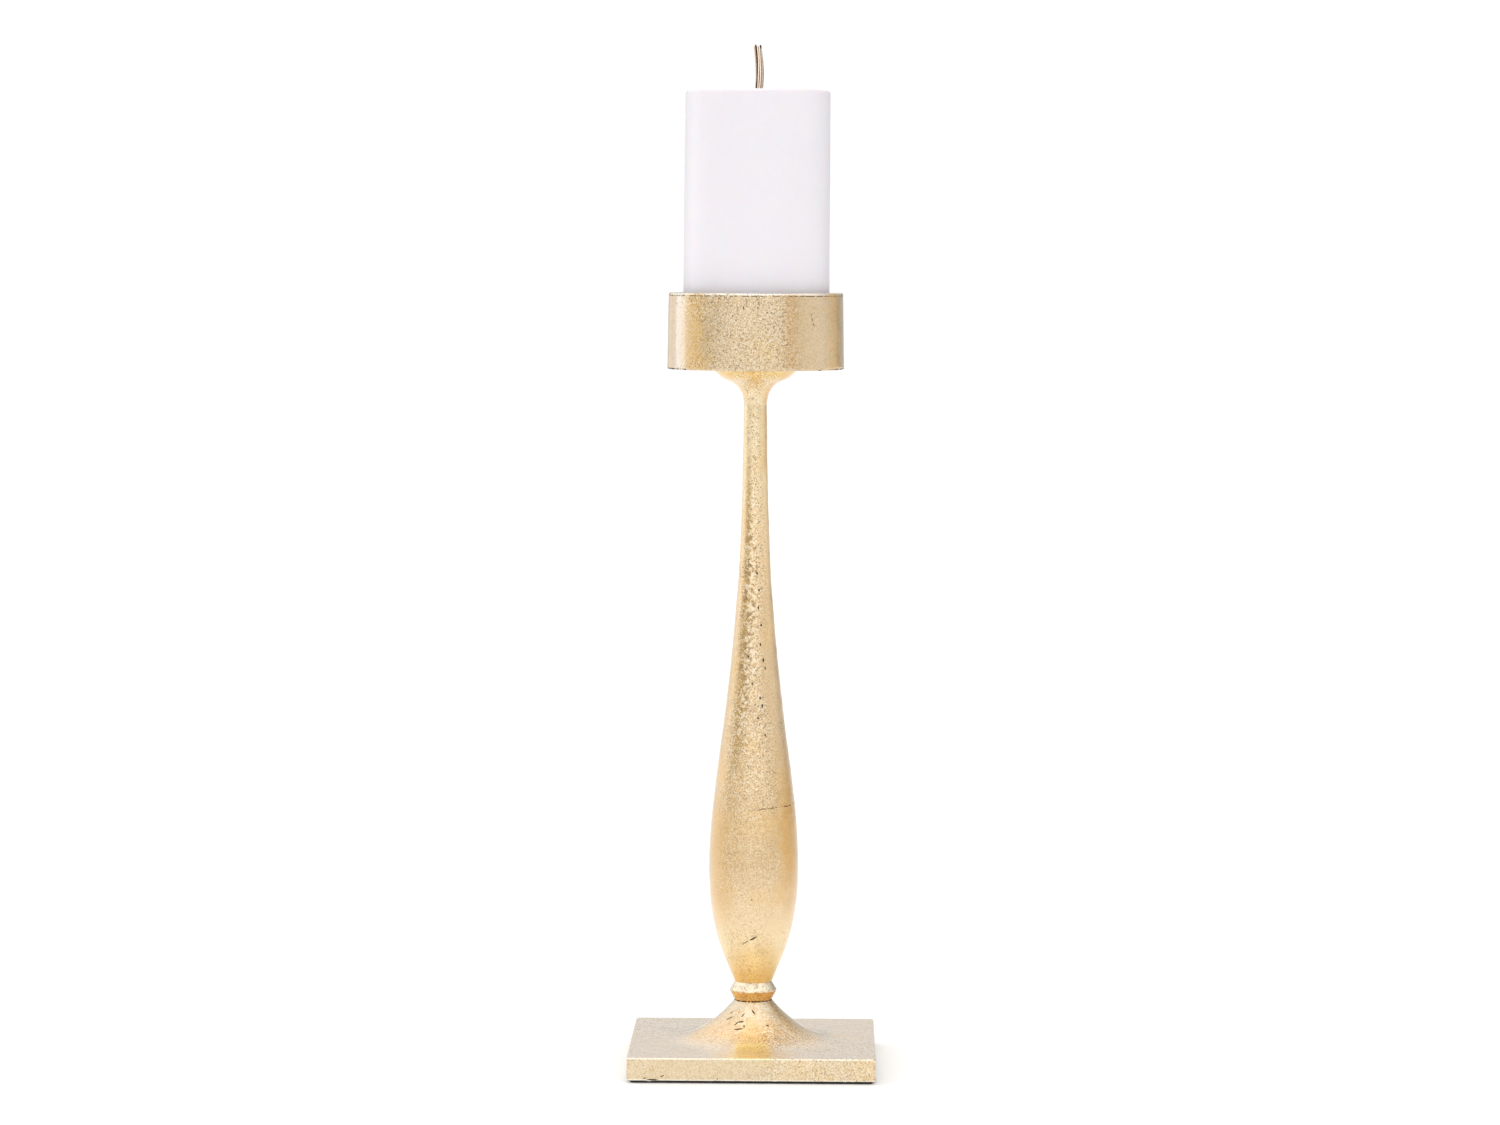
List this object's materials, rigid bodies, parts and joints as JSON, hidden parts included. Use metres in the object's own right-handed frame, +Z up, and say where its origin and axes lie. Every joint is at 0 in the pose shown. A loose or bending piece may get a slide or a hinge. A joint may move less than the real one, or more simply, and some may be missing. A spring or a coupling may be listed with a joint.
{
  "type": "candlestick",
  "caption": "Tall baluster candlestick on a square plate, with a drum cup holding a pillar candle that lifts out.",
  "frame": {"origin": "centre of the underside of the felt pad, on the table", "axes": "+Z up along the stem; +X and +Y square to the plate's sides, -Y the front"},
  "size_m": [0.1264, 0.1264, 0.527],
  "materials": {
    "brass_leaf": "satin brass leaf over brass, fine sandy grain, visible leaf laps, small cracks and nicks",
    "steel": "zinc-plated fasteners, semi-bright",
    "felt": "black pressed wool felt, matte",
    "wax": "white paraffin wax, smooth, slightly translucent",
    "wick_cotton": "unburnt twisted cotton, cream and tan strands"
  },
  "bodies": {
    "holder": {"felt_pad": "felt", "base": "brass_leaf", "knop_ring": "brass_leaf", "baluster": "brass_leaf", "neck_flare": "brass_leaf", "candle_cup": "brass_leaf", "tie_rod": "steel", "base_nut": "steel", "base_washer": "steel", "cup_screw": "steel"},
    "pillar_candle": {"candle": "wax", "wick": "wick_cotton"}
  },
  "joints": [
    {"name": "candle_lift", "type": "slide", "parent": "holder", "child": "pillar_candle", "axis": [0, 0, 1], "range_m": [0, 0.05]}
  ]
}
